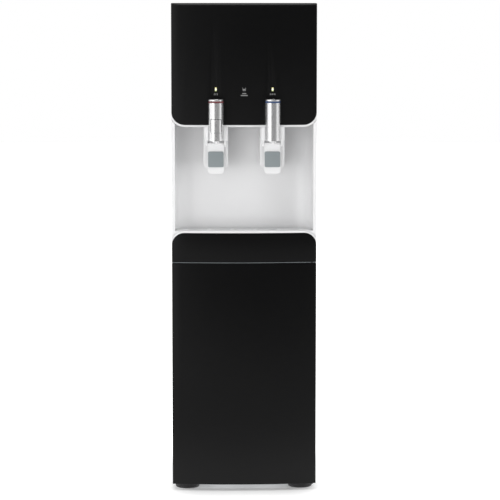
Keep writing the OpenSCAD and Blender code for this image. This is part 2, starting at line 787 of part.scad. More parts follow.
module barrel(s, with_lock) {
  color("silver") difference() {
    at(s * tap_x, tap_axis_d, barrel_z) difference() {
      cylinder(r = barrel_r, h = barrel_h);
      translate([0, 0, 3]) cylinder(r = barrel_r - barrel_wall, h = barrel_h);
      translate([0, 0, -1]) cylinder(r = nozzle_r + 0.2, h = 5);
      translate([0, 0, spout_z - barrel_z]) rotate([-90, 0, 0]) cylinder(r = tube_r + 0.3, h = 30);
      if (with_lock) translate([-lock_w / 2 - lock_gap, -barrel_r - 1, lock_z - barrel_z - lock_gap])
        cube([lock_w + 2 * lock_gap, barrel_r + 1, lock_h + 2 * lock_gap]);
    }
  }
}
module hot_tap_barrel() { barrel(-1, true); }
module cold_tap_barrel() { barrel(1, false); }

module ring(s) {
  at(s * tap_x, tap_axis_d, ring_z) difference() {
    cylinder(r = barrel_r, h = ring_h);
    translate([0, 0, -1]) cylinder(r = barrel_r - barrel_wall - 1.5, h = ring_h + 2);
  }
}
module hot_tap_ring() { color("#8a1420") ring(-1); }
module cold_tap_ring() { color("#1f5fa8") ring(1); }

module tap_caps() {
  spigot_r = barrel_r - barrel_wall - 1.6;
  color("silver") for (s = [-1, 1]) at(s * tap_x, tap_axis_d, 0) {
    translate([0, 0, ring_z - 4]) cylinder(r = spigot_r, h = ring_h + 5);
    translate([0, 0, cap_z]) rotate_extrude() {
      square([barrel_r - 1, cap_h]);
      square([barrel_r, cap_h - 1]);
      translate([barrel_r - 1, cap_h - 1]) circle(r = 1, $fn = 24);
    }
  }
}

// Spout and its pipe back to the valve block
module tap_nozzles() {
  color("white") for (s = [-1, 1]) {
    at(s * tap_x, tap_axis_d, barrel_z - 6) difference() {
      union() {
        cylinder(r = nozzle_r, h = 16);
        translate([0, 0, 6 + 3]) cylinder(r = nozzle_r + 3, h = 3);
      }
      translate([0, 0, -1]) cylinder(r = 4, h = 9);
      for (a = [0, 60, 120]) rotate([0, 0, a]) translate([-10, -1, -1]) cube([20, 2, 5]);
    }
    translate([s * tap_x, 0, 0]) pipe_run([pt(0, tap_axis_d, barrel_z + 5), pt(0, tap_axis_d, spout_z),
      pt(0, spout_back, spout_z), pt(0, spout_back, rod_z + valve_half)], tube_r, spout_bend);
  }
}

// Valve block: the plunger's rod passes through the seat, and the seal closes on it from behind.
module tap_valves() {
  color("white") for (s = [-1, 1]) translate([s * tap_x, 0, 0]) difference() {
    slab(-valve_half, valve_half, valve_d, valve_d + valve_l, rod_z - valve_half, rod_z + valve_half);
    at(0, valve_d - 1, rod_z) rotate([-90, 0, 0]) cylinder(r = rod_r + run_fit, h = seal_d - valve_d + 2);
    at(0, seal_d, rod_z) rotate([-90, 0, 0]) cylinder(r = 8, h = valve_d + valve_l - seal_d - 1.5);
  }
}

module paddle_pins() {
  reach = paddle_w / 2 + slip + ear_t;
  color("silver") for (s = [-1, 1]) at(s * tap_x - reach, pin_d, pin_z) rotate([0, 90, 0])
    cylinder(r = pin_r, h = 2 * reach);
}

// Paddle: a plate with a knuckle on the pin and two stiffening ribs behind
module paddle(s) {
  color("white") translate([s * tap_x, 0, 0]) difference() {
    union() {
      stand_up(paddle_face, paddle_face + paddle_t)
        round_end(paddle_w, pin_z - paddle_len, pin_z - 3, 7, false);
      at(-paddle_w / 2, pin_d, pin_z) rotate([0, 90, 0]) cylinder(r = pin_r + 2, h = paddle_w);
      slab(-paddle_w / 2, paddle_w / 2, paddle_face, paddle_face + paddle_t, pin_z - 10, pin_z);
      for (e = [-1, 1]) translate([e * (paddle_w / 2 - 4), 0, 0])
        slab(-1, 1, paddle_face + 1, paddle_face + paddle_t + 1.5, pin_z - 26, pin_z - 2);
    }
    at(-paddle_w, pin_d, pin_z) rotate([0, 90, 0]) cylinder(r = pin_r + run_fit, h = 2 * paddle_w);
  }
}
module hot_paddle() { paddle(-1); }
module cold_paddle() { paddle(1); }

module pad(s) {
  top = pin_z - 15;
  color("#9aa0a2") translate([s * tap_x, 0, 0]) stand_up(paddle_face - pad_t, paddle_face)
    round_square(pad_w, top - pad_w, 3);
}
module round_square(w, z, r) {
  translate([-w / 2 + r, z]) square([w - 2 * r, w]);
  translate([-w / 2, z + r]) square([w, w - 2 * r]);
  for (sx = [-1, 1], dz = [r, w - r]) translate([sx * (w / 2 - r), z + dz]) circle(r = r);
}
module hot_pad() { pad(-1); }
module cold_pad() { pad(1); }

module plunger(s) {
  color("white") at(s * tap_x, rod_tip, rod_z) rotate([-90, 0, 0]) {
    translate([0, 0, rod_r]) sphere(r = rod_r);
    translate([0, 0, rod_r]) cylinder(r = rod_r, h = seal_d - rod_tip - rod_r + 3.2);
    translate([0, 0, collar_d - rod_tip]) cylinder(r = 5.5, h = collar_t);
    translate([0, 0, seal_d - rod_tip + 0.2]) cylinder(r = 6, h = 2.5);
  }
}
module hot_plunger() { plunger(-1); }
module cold_plunger() { plunger(1); }

module spring(s) {
  gap = 0.1;
  start = collar_d + collar_t + spring_wire_r + gap;
  length = valve_d - gap - spring_wire_r - start;
  color("silver") at(s * tap_x, start, rod_z) rotate([-90, 0, 0])
    helix_wire(spring_mean_r, spring_wire_r, length / spring_turns, spring_turns, 12, 6);
}
module hot_spring() { spring(-1); }
module cold_spring() { spring(1); }

// Child lock: a curved button flush with the hot barrel
module child_lock() {
  color("silver") intersection() {
    at(-tap_x, tap_axis_d, lock_z) difference() {
      cylinder(r = barrel_r, h = lock_h);
      translate([0, 0, -1]) cylinder(r = barrel_r - barrel_wall - 1, h = lock_h + 2);
    }
    translate([-tap_x, 0, 0])
      slab(-lock_w / 2, lock_w / 2, tap_axis_d - barrel_r - 1, tap_axis_d, lock_z, lock_z + lock_h);
  }
}

module indicator_lenses() {
  color("#d8e8b0") intersection() {
    for (s = [-1, 1]) at(s * tap_x, 0, board_z) translate([0, -30 + board_d, 0])
      cube([lens_w, 60, lens_h], center = true);
    bow_block(0, board_d, board_z - lens_h, board_z + lens_h);
  }
}

module control_board() {
  board_t = 1.6;
  board_half = tap_x + 20;
  relay_w = 14;
  color("green") {
    slab(-board_half, board_half, board_d, board_d + board_t, board_z - 20, board_z + 20);
    for (x = [40 - board_half, 65 - board_half, board_half - 50])
      slab(x, x + relay_w, board_d + board_t - eps, board_d + 10, board_z - 8, board_z + 6);
  }
}

// Tanks
module cold_tank() {
  color("silver") at(0, cold_d, cold_z) difference() {
    union() {
      cylinder(r = cold_r, h = cold_h);
      translate([0, 0, cold_h - 4]) cylinder(r = cold_r + 2, h = 4);
    }
    translate([0, 0, 1.2]) cylinder(r = cold_r - 1.2, h = cold_h - 2.4);
  }
}
module tank_jackets() {
  color("#f2ead2") {
    at(0, cold_d, cold_z) ring_of(jacket_in, jacket_in + jacket_t, cold_h - 12);
    at(0, hot_d, low_shelf_z + 1.2) ring_of(hot_r + 0.4, hot_r + jacket_t, hot_h - 6);
  }
}
module ring_of(r0, r1, h) {
  difference() {
    cylinder(r = r1, h = h);
    translate([0, 0, -1]) cylinder(r = r0, h = h + 2);
  }
}
module evaporator_coil() {
  color("#b5713c") at(0, cold_d, coil_z) {
    helix_wire(coil_r, tube_r, coil_pitch, coil_turns, 24, 8);
    translate([coil_r, 0, 0.2 - coil_tail]) cylinder(r = suction_r, h = coil_tail);
    translate([-coil_r, 0, coil_top - coil_z]) cylinder(r = capillary_r, h = coil_head);
  }
}
module hot_tank() {
  color("silver") at(0, hot_d, hot_z) {
    difference() {
      union() {
        cylinder(r = hot_r, h = hot_h);
        translate([20, 20, hot_h - eps]) cylinder(r = 9, h = 12);
      }
      translate([0, 0, 1.2]) cylinder(r = hot_r - 1.2, h = hot_h - 2.4);
    }
    for (a = [0, 120, 240]) rotate([0, 0, a]) translate([hot_r - 14, 0, -hot_leg])
      cylinder(r = 5, h = hot_leg + eps);
  }
}

// Cooling circuit
module compressor() {
  corner = 30;
  color("#26282b") at(comp_x, comp_d, 0) {
    difference() {
      translate([0, 0, comp_z]) union() {
        rotate_extrude() {
          square([comp_r - corner, comp_top - comp_z]);
          square([comp_r, comp_top - comp_z - corner]);
          translate([comp_r - corner, comp_top - comp_z - corner]) circle(r = corner);
        }
        translate([0, 0, comp_h / 2 - 4]) cylinder(r = comp_r + 3, h = 4);
      }
      translate([0, 0, comp_z + 12]) cylinder(r = comp_r - 12, h = comp_top - comp_z - corner - 14);
    }
    translate([-comp_foot_x - 10, -comp_foot_y - 10, comp_plate_z])
      cube([2 * comp_foot_x + 20, 2 * comp_foot_y + 20, comp_z - comp_plate_z + eps]);
    translate([-comp_r - 12, -18, comp_z + 28]) cube([20, 36, 38]);
    for (s = [-1, 1]) translate([s * comp_pipe_x, 0, comp_top - 1]) cylinder(r = tube_r + 1.5, h = 9);
  }
}
module compressor_grommets() {
  color("#303030") for (sx = [-1, 1], sy = [-1, 1])
    at(comp_x + sx * comp_foot_x, comp_d + sy * comp_foot_y, pan_top) ring_of(4, 9, grommet_h);
}

// Wire-on-tube condenser: one serpentine tube with upright wires on both sides
module condenser() {
  y = cond_d;
  lead = cond_half - 30;
  rows = [for (i = [0 : cond_rows - 1]) each
    let (z = cond_top - i * cond_pitch, e = i % 2 == 0 ? 1 : -1)
    [pt(e * (i == 0 ? lead - 1 : cond_half), y, z),
      pt(-e * (i == cond_rows - 1 ? lead - 1 : cond_half), y, z)]];
  wires = floor((2 * cond_half - 40) / wire_pitch / 2);
  color("#26282b") {
    pipe_run(rows, cond_r, cond_pitch / 2);
    pipe_run([pt(line_right, body_d + 1.5, line_z), pt(line_right, y, line_z), pt(line_right, y, cond_top),
      pt(lead - 2, y, cond_top)], cond_r, 6);
    pipe_run([pt(2 - lead, y, cond_end), pt(-line_left, y, cond_end), pt(-line_left, y, line_z),
      pt(-line_left, body_d + 1.5, line_z)], cond_r, 6);
    for (i = [-wires : wires], s = [-1, 1])
      at(i * wire_pitch, y + s * (cond_r + wire_r + 0.02), cond_end - 12)
        cylinder(r = wire_r, h = cond_top - cond_end + 24, $fn = 16);
    for (sx = [-1, 1], z = [cond_top - 2 * cond_pitch, cond_end + 2 * cond_pitch])
      translate([sx * (wires + 0.5) * wire_pitch, 0, 0]) {
        slab(-5, 5, body_d, body_d + 1.2, z - 14, z + 14);
        slab(-5, 5, body_d, y + 1, z - 1, z + 1);
      }
  }
}

// Discharge, liquid and suction lines, with the filter drier and the capillary
module refrigerant_lines() {
  color("#b5713c") {
    pipe_run([pt(comp_x + comp_pipe_x, comp_d, comp_top + 8), pt(comp_x + comp_pipe_x, comp_d, line_z),
      pt(line_right, comp_d, line_z), pt(line_right, body_d + 1.5, line_z)], cond_r, bend);
    pipe_run([pt(coil_r, cold_d, coil_z - coil_tail), pt(coil_r, cold_d, suction_z),
      pt(comp_x - comp_pipe_x, cold_d, suction_z), pt(comp_x - comp_pipe_x, comp_d, suction_z),
      pt(comp_x - comp_pipe_x, comp_d, comp_top + 8)], suction_r, bend);
    pipe_run([pt(-line_left, body_d + 1.5, line_z), pt(-line_left, drier_d, line_z),
      pt(-line_left, drier_d, line_z + 31)], cond_r, bend);
    at(-line_left, drier_d, line_z + 30) cylinder(r = drier_r, h = drier_h);
    pipe_run([pt(-line_left, drier_d, line_z + 29 + drier_h), pt(-line_left, drier_d, line_z + 70 + drier_h),
      pt(-line_left, cold_d, line_z + 70 + drier_h), pt(-line_left, cold_d, coil_top + 20),
      pt(-coil_r, cold_d, coil_top + 20), pt(-coil_r, cold_d, coil_top + coil_head)], capillary_r, 5);
  }
}

// Filters hang from a head on the divider and lock with a quarter turn.
module filter_head() {
  color("#3c6ea5") difference() {
    union() {
      slab(-head_half, head_half, filter_d - 22, divider_d, head_z + 8, head_z + head_h);
      for (s = [-1, 1]) at(s * filter_x, filter_d, head_z) cylinder(r = neck_r + 8, h = head_h);
    }
    for (s = [-1, 1]) at(s * filter_x, filter_d, head_z - 1) cylinder(r = neck_r + run_fit, h = neck_deep);
  }
}
module filter(s) {
  r = 12;
  top = head_z - 4;
  color("white") at(s * filter_x, filter_d, 0) {
    translate([0, 0, top - filter_h]) rotate_extrude() {
      translate([0, r]) square([filter_r, filter_h - 2 * r]);
      square([filter_r - r, filter_h]);
      for (z = [r, filter_h - r]) translate([filter_r - r, z]) circle(r = r);
    }
    translate([0, 0, top - 1]) cylinder(r = neck_r, h = neck_deep);
    for (a = [0 : 30 : 330]) rotate([0, 0, a]) translate([filter_r - 0.5, -1.5, top - filter_h + 16])
      cube([2, 3, 34]);
  }
}
module filter_left() { filter(-1); }
module filter_right() { filter(1); }

// Water side
module inlet_fitting() {
  color("#e8e8e8") at(-supply_x, 0, supply_z) difference() {
    union() {
      rotate([-90, 0, 0]) translate([0, 0, body_d - 30]) cylinder(r = 8, h = 46);
      rotate([-90, 0, 0]) translate([0, 0, body_d]) cylinder(r = 12, h = 4, $fn = 6);
      rotate([-90, 0, 0]) translate([0, 0, body_d - sheet_t - 5]) cylinder(r = 12, h = 5, $fn = 6);
    }
    rotate([-90, 0, 0]) translate([0, 0, body_d + 16 - inlet_bore_l])
      cylinder(r = inlet_bore_r, h = inlet_bore_l + 1);
  }
}
module inlet_valve() {
  color("#e8e8e8") {
    slab(-supply_x - 14, -supply_x + 14, body_d - 66, body_d - 30, supply_z - 12, supply_z + 12);
    at(-supply_x, body_d - 48, supply_z + 12 - eps) cylinder(r = 11, h = 26);
    at(-supply_x, body_d - 48, supply_z + 36) cylinder(r = 14, h = 3);
  }
}
module water_tubes() {
  color("#dce6ee") {
    pipe_run([pt(-supply_x, body_d - 66, supply_z), pt(-supply_x, riser_d, supply_z),
      pt(-supply_x, riser_d, head_z + 22), pt(-head_half, riser_d, head_z + 22)], tube_r, bend);
    pipe_run([pt(head_half, riser_d, head_z + 22), pt(riser_x, riser_d, head_z + 22),
      pt(riser_x, riser_d, cold_z + cold_h + 14), pt(riser_x, cold_d, cold_z + cold_h + 14),
      pt(tap_x, cold_d, cold_z + cold_h + 14), pt(tap_x, cold_d, cold_z + cold_h)], tube_r, bend);
    pipe_run([pt(-30, cold_d + 10, cold_z), pt(-30, cold_d + 10, hot_z + hot_h)], tube_r, bend);
    pipe_run([pt(-tap_x + 40, hot_d - 20, hot_z + hot_h), pt(-tap_x + 40, hot_d - 20, cross_z),
      pt(-tap_x, hot_d - 20, cross_z), pt(-tap_x, feed_d, cross_z), pt(-tap_x, feed_d, rod_z + valve_half)],
      tube_r, bend);
    pipe_run([pt(tap_x, cold_d - 25, cold_z), pt(tap_x, cold_d - 25, cross_z), pt(tap_x, feed_d, cross_z),
      pt(tap_x, feed_d, rod_z + valve_half)], tube_r, bend);
  }
}

// Fittings on the rear panel
module power_inlet() {
  color("#202124") at(power_x, body_d, power_z) {
    difference() {
      union() {
        translate([-14, -20, -10]) cube([28, 20 + eps, 20]);
        translate([-17, 0, -13]) cube([34, 2.5, 26]);
      }
      translate([-12, -16, -8]) cube([24, 20, 16]);
    }
    for (p = [[-7, 0], [0, 4], [7, 0]]) translate([p[0] - 1, -16 - eps, p[1] - 2]) cube([2, 13, 4]);
  }
}
module switch_frames() {
  color("#202124") for (s = [-1, 1]) at(s * switch_x, body_d, switch_z) difference() {
    union() {
      translate([-10, -18, -11]) cube([20, 18 + eps, 22]);
      translate([-12, 0, -13]) cube([24, 2, 26]);
    }
    translate([-7.5, -15, -9.5]) cube([15, 20, 19]);
    translate([-11, -4, 0]) rotate([0, 90, 0]) cylinder(r = 1.5 + run_fit, h = 22);
  }
}
module rocker(s, shade) {
  color(shade) at(s * switch_x, body_d - 4, switch_z) {
    rotate([-rocker_tilt, 0, 0]) translate([-7, 0, 0]) rotate([90, 0, 90]) linear_extrude(14)
      polygon([[-8, 0], [-3, -8], [4, -8], [5.2, 0], [4, 8], [-3, 8]]);
    translate([-10, 0, 0]) rotate([0, 90, 0]) cylinder(r = 1.5, h = 20);
  }
}
module hot_switch_rocker() { rocker(-1, "#a01c22"); }
module cold_switch_rocker() { rocker(1, "#1d7a3c"); }

module drain_fitting() {
  color("#e8e8e8") at(drain_x, 0, drain_z) rotate([-90, 0, 0]) difference() {
    union() {
      translate([0, 0, body_d - 24]) cylinder(r = 9, h = 38);
      translate([0, 0, body_d]) cylinder(r = 13, h = 3, $fn = 6);
      translate([0, 0, body_d - sheet_t - 4]) cylinder(r = 13, h = 4, $fn = 6);
    }
    translate([0, 0, body_d - 10]) cylinder(r = 5, h = 30);
  }
}
module drain_cap() {
  color("#303234") at(drain_x, 0, drain_z) rotate([-90, 0, 0]) difference() {
    union() {
      translate([0, 0, body_d + 3 + slip]) cylinder(r = 12, h = 13);
      for (a = [0 : 30 : 330]) rotate([0, 0, a]) translate([11.5, -1, body_d + 5]) cube([1.2, 2, 10]);
    }
    translate([0, 0, body_d + 2]) cylinder(r = 9 + run_fit, h = 12.3);
  }
}

// Levelling feet
module foot(sx, d) {
  edge = 3;
  color("#202124") at(sx * foot_x, d, 0) {
    rotate_extrude() {
      square([foot_r - edge, foot_h]);
      translate([foot_r - edge, edge]) circle(r = edge, $fn = 32);
      translate([foot_r - edge - eps, edge]) square([edge + eps, foot_h - edge]);
    }
    translate([0, 0, foot_h - 1]) cylinder(r = stem_r, h = foot_clear + 20 - foot_h);
    translate([0, 0, foot_h - 1]) cylinder(r = 9, h = foot_clear - foot_h + 0.6, $fn = 6);
  }
}
module foot_front_left() { foot(-1, foot_front_d); }
module foot_front_right() { foot(1, foot_front_d); }
module foot_rear_left() { foot(-1, foot_rear_d); }
module foot_rear_right() { foot(1, foot_rear_d); }

base_pan();
side_panel_left();
side_panel_right();
rear_panel();
top_lid();
inner_frame();
tank_shelf();
front_fascia();
fascia_frame();
alcove_panel();
ledge_front();
front_door();
door_hinges();
drip_tray();
drip_grille();
hot_tap_base();
cold_tap_base();
hot_tap_barrel();
cold_tap_barrel();
hot_tap_ring();
cold_tap_ring();
tap_caps();
tap_nozzles();
tap_valves();
paddle_pins();
hot_paddle();
cold_paddle();
hot_pad();
cold_pad();
hot_plunger();
cold_plunger();
hot_spring();
cold_spring();
child_lock();
indicator_lenses();
control_board();
cold_tank();
tank_jackets();
evaporator_coil();
hot_tank();
compressor();
compressor_grommets();
condenser();
refrigerant_lines();
filter_head();
filter_left();
filter_right();
inlet_fitting();
inlet_valve();
water_tubes();
power_inlet();
switch_frames();
hot_switch_rocker();
cold_switch_rocker();
drain_fitting();
drain_cap();
foot_front_left();
foot_front_right();
foot_rear_left();
foot_rear_right();
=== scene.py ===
import bpy
import json
import math
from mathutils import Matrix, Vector


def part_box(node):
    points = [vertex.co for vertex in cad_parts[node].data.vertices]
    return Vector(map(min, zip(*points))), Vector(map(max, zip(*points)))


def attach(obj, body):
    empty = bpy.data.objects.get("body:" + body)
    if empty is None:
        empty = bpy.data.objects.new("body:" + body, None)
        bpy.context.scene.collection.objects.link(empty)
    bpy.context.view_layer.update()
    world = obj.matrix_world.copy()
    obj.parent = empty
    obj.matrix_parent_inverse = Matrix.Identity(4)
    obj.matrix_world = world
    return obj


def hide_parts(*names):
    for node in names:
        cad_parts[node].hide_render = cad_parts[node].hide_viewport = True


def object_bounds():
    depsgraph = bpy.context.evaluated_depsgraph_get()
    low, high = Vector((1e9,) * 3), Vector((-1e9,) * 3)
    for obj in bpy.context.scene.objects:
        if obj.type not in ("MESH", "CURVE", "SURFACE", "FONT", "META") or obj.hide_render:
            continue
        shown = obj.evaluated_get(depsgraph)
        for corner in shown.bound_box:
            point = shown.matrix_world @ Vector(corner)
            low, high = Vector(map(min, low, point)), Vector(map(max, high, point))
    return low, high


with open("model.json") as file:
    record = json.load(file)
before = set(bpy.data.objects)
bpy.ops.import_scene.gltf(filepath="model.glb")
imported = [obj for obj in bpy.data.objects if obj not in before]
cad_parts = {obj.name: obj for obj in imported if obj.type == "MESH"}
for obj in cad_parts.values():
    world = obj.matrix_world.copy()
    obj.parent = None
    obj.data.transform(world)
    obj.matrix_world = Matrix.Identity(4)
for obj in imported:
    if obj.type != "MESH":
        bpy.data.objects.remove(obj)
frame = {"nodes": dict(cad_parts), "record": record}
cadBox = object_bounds()
nodes = frame["nodes"]
slotOf = {part["node"]: part["material_slot"] for part in frame["record"]["subparts"]}
bodies = frame["record"]["behaviour"]["bodies"]
bodyOf = {node: body for body, members in bodies.items() for node in members}
print("frame loaded:", len(nodes), "nodes")

# Camera, at the height and the angle of the photograph
cameraLook = {
    "place": (-0.1039, -4.6058, 0.9854),
    "downwards": 5.942,
    "rightwards": 1.491,
    "lens": 151.85,
    "sensor": 36.0,
}


def addCamera(look):
    bpy.ops.object.camera_add(location=look["place"])
    camera = bpy.context.object
    camera.rotation_euler = (math.radians(90 - look["downwards"]), 0, math.radians(-look["rightwards"]))
    camera.data.lens = look["lens"]
    camera.data.sensor_width = look["sensor"]
    bpy.context.scene.camera = camera


addCamera(cameraLook)
bpy.context.scene.view_settings.view_transform = "Standard"
print("camera placed")


# Shader sums: a Value is a socket that can be added, subtracted and multiplied
class Value:
    def __init__(self, tree, socket):
        self.tree = tree
        self.socket = socket

    def combine(self, operation, first, second):
        maths = self.tree.nodes.new("ShaderNodeMath")
        maths.operation = operation
        for entry, given in zip(maths.inputs, (first, second)):
            if isinstance(given, Value):
                self.tree.links.new(given.socket, entry)
            else:
                entry.default_value = given
        return Value(self.tree, maths.outputs[0])

    def __add__(self, other):
        return self.combine("ADD", self, other)

    def __radd__(self, other):
        return self.combine("ADD", other, self)

    def __sub__(self, other):
        return self.combine("SUBTRACT", self, other)

    def __rsub__(self, other):
        return self.combine("SUBTRACT", other, self)

    def __mul__(self, other):
        return self.combine("MULTIPLY", self, other)

    def __rmul__(self, other):
        return self.combine("MULTIPLY", other, self)


# A Shading holds the nodes of the world or of one material
class Shading:
    def __init__(self, tree):
        self.tree = tree

    def node(self, kind, settings, sockets, out=0):
        made = self.tree.nodes.new("ShaderNode" + kind)
        for name, value in settings.items():
            if name == "stops":
                for place, (where, colour) in enumerate(value):
                    stops = made.color_ramp.elements
                    stop = stops[place] if place < 2 else stops.new(where)
                    stop.position = where
                    stop.color = (*colour, 1)
            else:
                setattr(made, name, value)
        for name, given in sockets.items():
            if isinstance(given, Value):
                self.tree.links.new(given.socket, made.inputs[name])
            else:
                made.inputs[name].default_value = given
        return Value(self.tree, made.outputs[out])

    def place(self):
        return self.node("TexCoord", {}, {}, "Object")

    def axis(self, vector, letter):
        return self.node("SeparateXYZ", {}, {"Vector": vector}, letter)

    def vectors(self, operation, first, second, out=0):
        return self.node("VectorMath", {"operation": operation}, {0: first, 1: second}, out)

    def climb(self, value, span, ends, kind="SMOOTHSTEP"):
        return self.node("MapRange", {"interpolation_type": kind}, {
            "Value": value, "From Min": span[0], "From Max": span[1],
            "To Min": ends[0], "To Max": ends[1]})

    def rays(self):
        kinds = ("Is Camera Ray", "Is Glossy Ray", "Is Transmission Ray")
        return [self.node("LightPath", {}, {}, kind) for kind in kinds]


# A Finish is one material under construction
class Finish(Shading):
    def __init__(self, name, fixed):
        self.material = bpy.data.materials.new(name)
        self.material.use_nodes = True
        super().__init__(self.material.node_tree)
        self.shader = self.tree.nodes["Principled BSDF"]
        for socket, value in fixed.items():
            self.shader.inputs[socket].default_value = value

    def feed(self, socket, value):
        self.tree.links.new(value.socket, self.shader.inputs[socket])

    def stretched(self, scale):
        return self.node("Mapping", {}, {"Vector": self.place(), "Scale": scale})

    def noise(self, scale, detail=2.0, vector=None):
        return self.node("TexNoise", {}, {
            "Vector": vector or self.place(), "Scale": scale, "Detail": detail})

    def cells(self, scale, out, settings=None):
        return self.node("TexVoronoi", settings or {}, {"Vector": self.place(), "Scale": scale}, out)

    def tint(self, amount, first, second):
        mixed = self.node("Mix", {"data_type": "RGBA"}, {0: amount, 6: (*first, 1), 7: (*second, 1)}, 2)
        self.feed("Base Color", mixed)

    def bump(self, height, depth):
        self.feed("Normal", self.node("Bump", {}, {"Height": height, "Distance": depth, "Strength": 1.0}))


def shaded(colour, share):
    return tuple(channel * share for channel in colour)


# Moulded plastic and paint: a fine grain, with a slow drift of shade and gloss
mouldedLook = {"shine": 0.5, "drift": 0.03, "driftScale": 6.0, "driftGloss": 0.06, "grainGloss": 0.05}


def moulded(name, look):
    look = {**mouldedLook, **look}
    finish = Finish(name, {"Metallic": 0.0, "Specular IOR Level": look["shine"]})
    drift = finish.noise(look["driftScale"])
    grain = finish.noise(look["grain"], 3.0)
    finish.tint(drift, shaded(look["colour"], 1 - look["drift"]), look["colour"])
    gloss = look["driftGloss"] * (drift - 0.5)
    finish.feed("Roughness", look["roughness"] + gloss + look["grainGloss"] * (grain - 0.5))
    finish.bump(grain, look["depth"])
    return finish.material


# Drawn or brushed metal: long fine streaks along one axis
brushedLook = {"metal": 1.0, "patches": 30.0, "patchShade": 0.95, "streakGloss": 0.08}


def brushed(name, look):
    look = {**brushedLook, **look}
    finish = Finish(name, {"Metallic": look["metal"]})
    streaks = finish.noise(1.0, 4.0, finish.stretched(look["streaks"]))
    patches = finish.noise(look["patches"])
    finish.tint(patches, shaded(look["colour"], look["patchShade"]), look["colour"])
    finish.feed("Roughness", look["roughness"] + look["streakGloss"] * (streaks - 0.5))
    finish.bump(streaks, look["depth"])
    return finish.material


# Galvanised sheet: flat crystals of slightly different greys
def galvanised(name, look):
    finish = Finish(name, {"Metallic": 1.0})
    spangle = finish.cells(look["spangle"], "Color")
    shade = finish.node("SeparateColor", {}, {"Color": spangle})
    finish.tint(shade, shaded(look["colour"], look["crystalShade"]), look["colour"])
    finish.feed("Roughness", look["roughness"] + look["crystalGloss"] * (shade - 0.5))
    finish.bump(finish.noise(look["grain"]), look["depth"])
    return finish.material


# Copper tube, darker where it has tarnished
def tarnished(name, look):
    finish = Finish(name, {"Metallic": 1.0})
    tarnish = finish.noise(look["patches"], 4.0)
    finish.tint(tarnish, look["colour"], look["dark"])
    finish.feed("Roughness", look["roughness"] + look["tarnishGloss"] * (tarnish - 0.5))
    finish.bump(finish.noise(look["grain"]), look["depth"])
    return finish.material


# Cut foam: small open cells
def foamed(name, look):
    finish = Finish(name, {"Roughness": look["roughness"], "Specular IOR Level": look["shine"]})
    cells = finish.cells(look["cells"], "Distance")
    finish.tint(cells, shaded(look["colour"], look["cellShade"]), look["colour"])
    finish.bump(cells, look["depth"])
    return finish.material


# Circuit board: solder mask over a net of tracks
def printedBoard(name, look):
    finish = Finish(name, {"Metallic": 0.0})
    net = finish.cells(look["tracks"], 0, {"feature": "DISTANCE_TO_EDGE"})
    track = finish.node("Math", {"operation": "LESS_THAN"}, {0: net, 1: look["trackWidth"]})
    finish.tint(track, look["colour"], look["track"])
    finish.feed("Roughness", look["roughness"] + look["trackGloss"] * track)
    finish.bump(track, look["depth"])
    return finish.material


# Lit lens: green below, almost white towards the middle and yellow above
def litLens(name, look):
    finish = Finish(name, {"Roughness": look["roughness"], "Emission Strength": look["glow"]})
    low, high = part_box("indicator_lenses")
    height = finish.axis(finish.place(), "Z")
    climb = (height - low.z) * (1 / (high.z - low.z))
    ramp = finish.node("ValToRGB", {"stops": look["stops"]}, {"Fac": climb})
    finish.feed("Base Color", ramp)
    finish.feed("Emission Color", ramp)
    return finish.material


